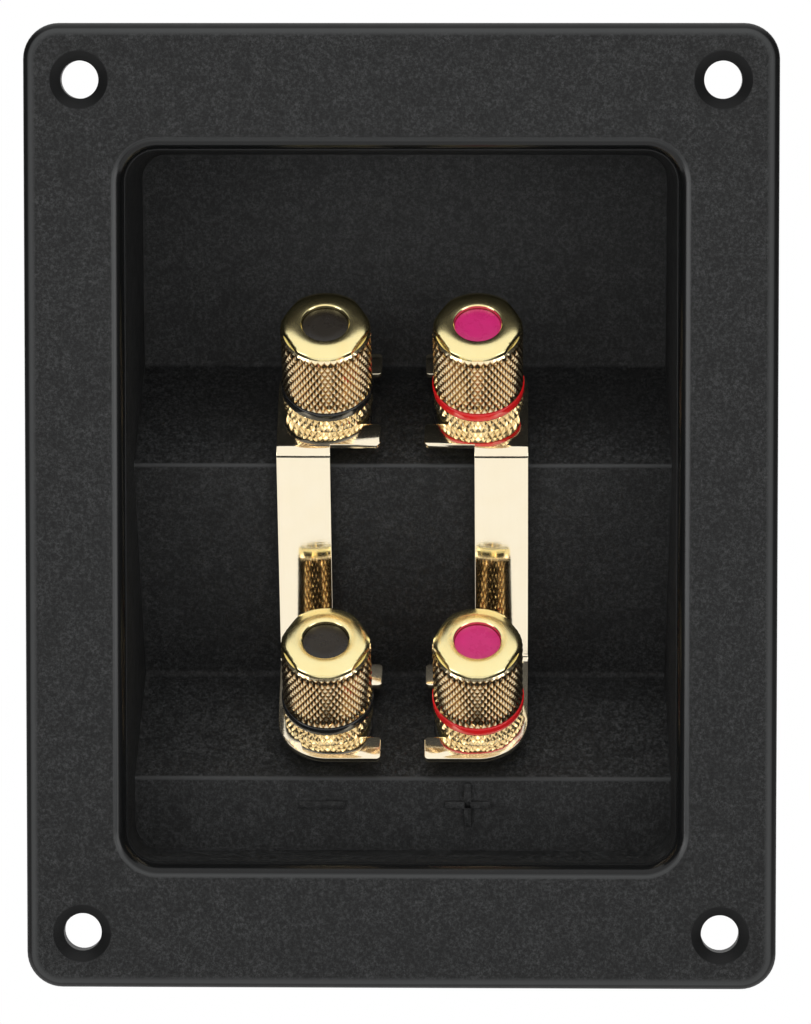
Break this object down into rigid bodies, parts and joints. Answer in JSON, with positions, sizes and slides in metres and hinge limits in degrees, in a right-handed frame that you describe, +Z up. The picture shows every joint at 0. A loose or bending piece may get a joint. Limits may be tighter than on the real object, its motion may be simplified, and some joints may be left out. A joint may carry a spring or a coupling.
{
  "type": "binding post terminal cup",
  "caption": "Moulded terminal cup with tilted, knurled gold binding posts and polished jumper straps, which connects loudspeaker cables to a cabinet.",
  "frame": {"origin": "centre of the screw pattern, on the flange's rear face", "axes": "+Y into the cabinet, normal to the flange's rear face; +Z up; +X to the right as seen from the front"},
  "size_m": [0.105, 0.0304, 0.135],
  "materials": {
    "cup_plastic": "fine spark-eroded grain, with a glossy lip",
    "gold": "gold-plated brass, knurled or mirror-polished",
    "ring_black": "gloss",
    "ring_red": "gloss",
    "plug_black": "satin",
    "plug_crimson": "satin",
    "washer_plastic": "satin",
    "tinned_steel": "tinned",
    "brass_nut": "bright"
  },
  "bodies": {
    "cup": {"terminal_cup": "cup_plastic", "neg_upper_seat_washer": "washer_plastic", "neg_upper_stud": "gold", "neg_upper_back_washer": "washer_plastic", "neg_upper_solder_tag": "tinned_steel", "neg_upper_lock_washer": "tinned_steel", "neg_upper_nut": "brass_nut", "neg_lower_seat_washer": "washer_plastic", "neg_lower_stud": "gold", "neg_lower_back_washer": "washer_plastic", "neg_lower_solder_tag": "tinned_steel", "neg_lower_lock_washer": "tinned_steel", "neg_lower_nut": "brass_nut", "pos_upper_seat_washer": "washer_plastic", "pos_upper_stud": "gold", "pos_upper_back_washer": "washer_plastic", "pos_upper_solder_tag": "tinned_steel", "pos_upper_lock_washer": "tinned_steel", "pos_upper_nut": "brass_nut", "pos_lower_seat_washer": "washer_plastic", "pos_lower_stud": "gold", "pos_lower_back_washer": "washer_plastic", "pos_lower_solder_tag": "tinned_steel", "pos_lower_lock_washer": "tinned_steel", "pos_lower_nut": "brass_nut"},
    "neg_upper_ring": {"neg_upper_ring": "ring_black"},
    "neg_upper_knob": {"neg_upper_knob": "gold"},
    "neg_upper_plug": {"neg_upper_plug": "plug_black"},
    "neg_lower_ring": {"neg_lower_ring": "ring_black"},
    "neg_lower_knob": {"neg_lower_knob": "gold"},
    "neg_lower_plug": {"neg_lower_plug": "plug_black"},
    "pos_upper_ring": {"pos_upper_ring": "ring_red"},
    "pos_upper_knob": {"pos_upper_knob": "gold"},
    "pos_upper_plug": {"pos_upper_plug": "plug_crimson"},
    "pos_lower_ring": {"pos_lower_ring": "ring_red"},
    "pos_lower_knob": {"pos_lower_knob": "gold"},
    "pos_lower_plug": {"pos_lower_plug": "plug_crimson"},
    "neg_strap": {"neg_strap": "gold"},
    "pos_strap": {"pos_strap": "gold"}
  },
  "joints": [
    {"name": "neg_upper_knob_turn", "type": "hinge", "parent": "neg_upper_ring", "child": "neg_upper_knob", "pos_m": [-0.01065, 0.01385, 0.012], "axis": [0, -0.7071, 0.7071], "range_deg": [0, 1800]},
    {"name": "neg_upper_knob_lift", "type": "slide", "parent": "cup", "child": "neg_upper_ring", "axis": [0, -0.7071, 0.7071], "range_m": [0, 0.0051]},
    {"name": "neg_upper_plug_pull", "type": "slide", "parent": "cup", "child": "neg_upper_plug", "axis": [0, -0.7071, 0.7071], "range_m": [0, 0.0125]},
    {"name": "neg_lower_knob_turn", "type": "hinge", "parent": "neg_lower_ring", "child": "neg_lower_knob", "pos_m": [-0.01065, 0.01385, -0.0324], "axis": [0, -0.7071, 0.7071], "range_deg": [0, 1800]},
    {"name": "neg_lower_knob_lift", "type": "slide", "parent": "cup", "child": "neg_lower_ring", "axis": [0, -0.7071, 0.7071], "range_m": [0, 0.0051]},
    {"name": "neg_lower_plug_pull", "type": "slide", "parent": "cup", "child": "neg_lower_plug", "axis": [0, -0.7071, 0.7071], "range_m": [0, 0.0125]},
    {"name": "pos_upper_knob_turn", "type": "hinge", "parent": "pos_upper_ring", "child": "pos_upper_knob", "pos_m": [0.01065, 0.01385, 0.012], "axis": [0, -0.7071, 0.7071], "range_deg": [0, 1800]},
    {"name": "pos_upper_knob_lift", "type": "slide", "parent": "cup", "child": "pos_upper_ring", "axis": [0, -0.7071, 0.7071], "range_m": [0, 0.0051]},
    {"name": "pos_upper_plug_pull", "type": "slide", "parent": "cup", "child": "pos_upper_plug", "axis": [0, -0.7071, 0.7071], "range_m": [0, 0.0125]},
    {"name": "pos_lower_knob_turn", "type": "hinge", "parent": "pos_lower_ring", "child": "pos_lower_knob", "pos_m": [0.01065, 0.01385, -0.0324], "axis": [0, -0.7071, 0.7071], "range_deg": [0, 1800]},
    {"name": "pos_lower_knob_lift", "type": "slide", "parent": "cup", "child": "pos_lower_ring", "axis": [0, -0.7071, 0.7071], "range_m": [0, 0.0051]},
    {"name": "pos_lower_plug_pull", "type": "slide", "parent": "cup", "child": "pos_lower_plug", "axis": [0, -0.7071, 0.7071], "range_m": [0, 0.0125]},
    {"name": "neg_strap_slide", "type": "slide", "parent": "cup", "child": "neg_strap", "axis": [-1, 0, 0], "range_m": [0, 0.012]},
    {"name": "pos_strap_slide", "type": "slide", "parent": "cup", "child": "pos_strap", "axis": [1, 0, 0], "range_m": [0, 0.012]}
  ],
  "couplings": [
    {"joint": "neg_upper_knob_lift", "follows": "neg_upper_knob_turn", "m_per_rad": 0.00015915},
    {"joint": "neg_lower_knob_lift", "follows": "neg_lower_knob_turn", "m_per_rad": 0.00015915},
    {"joint": "pos_upper_knob_lift", "follows": "pos_upper_knob_turn", "m_per_rad": 0.00015915},
    {"joint": "pos_lower_knob_lift", "follows": "pos_lower_knob_turn", "m_per_rad": 0.00015915}
  ]
}
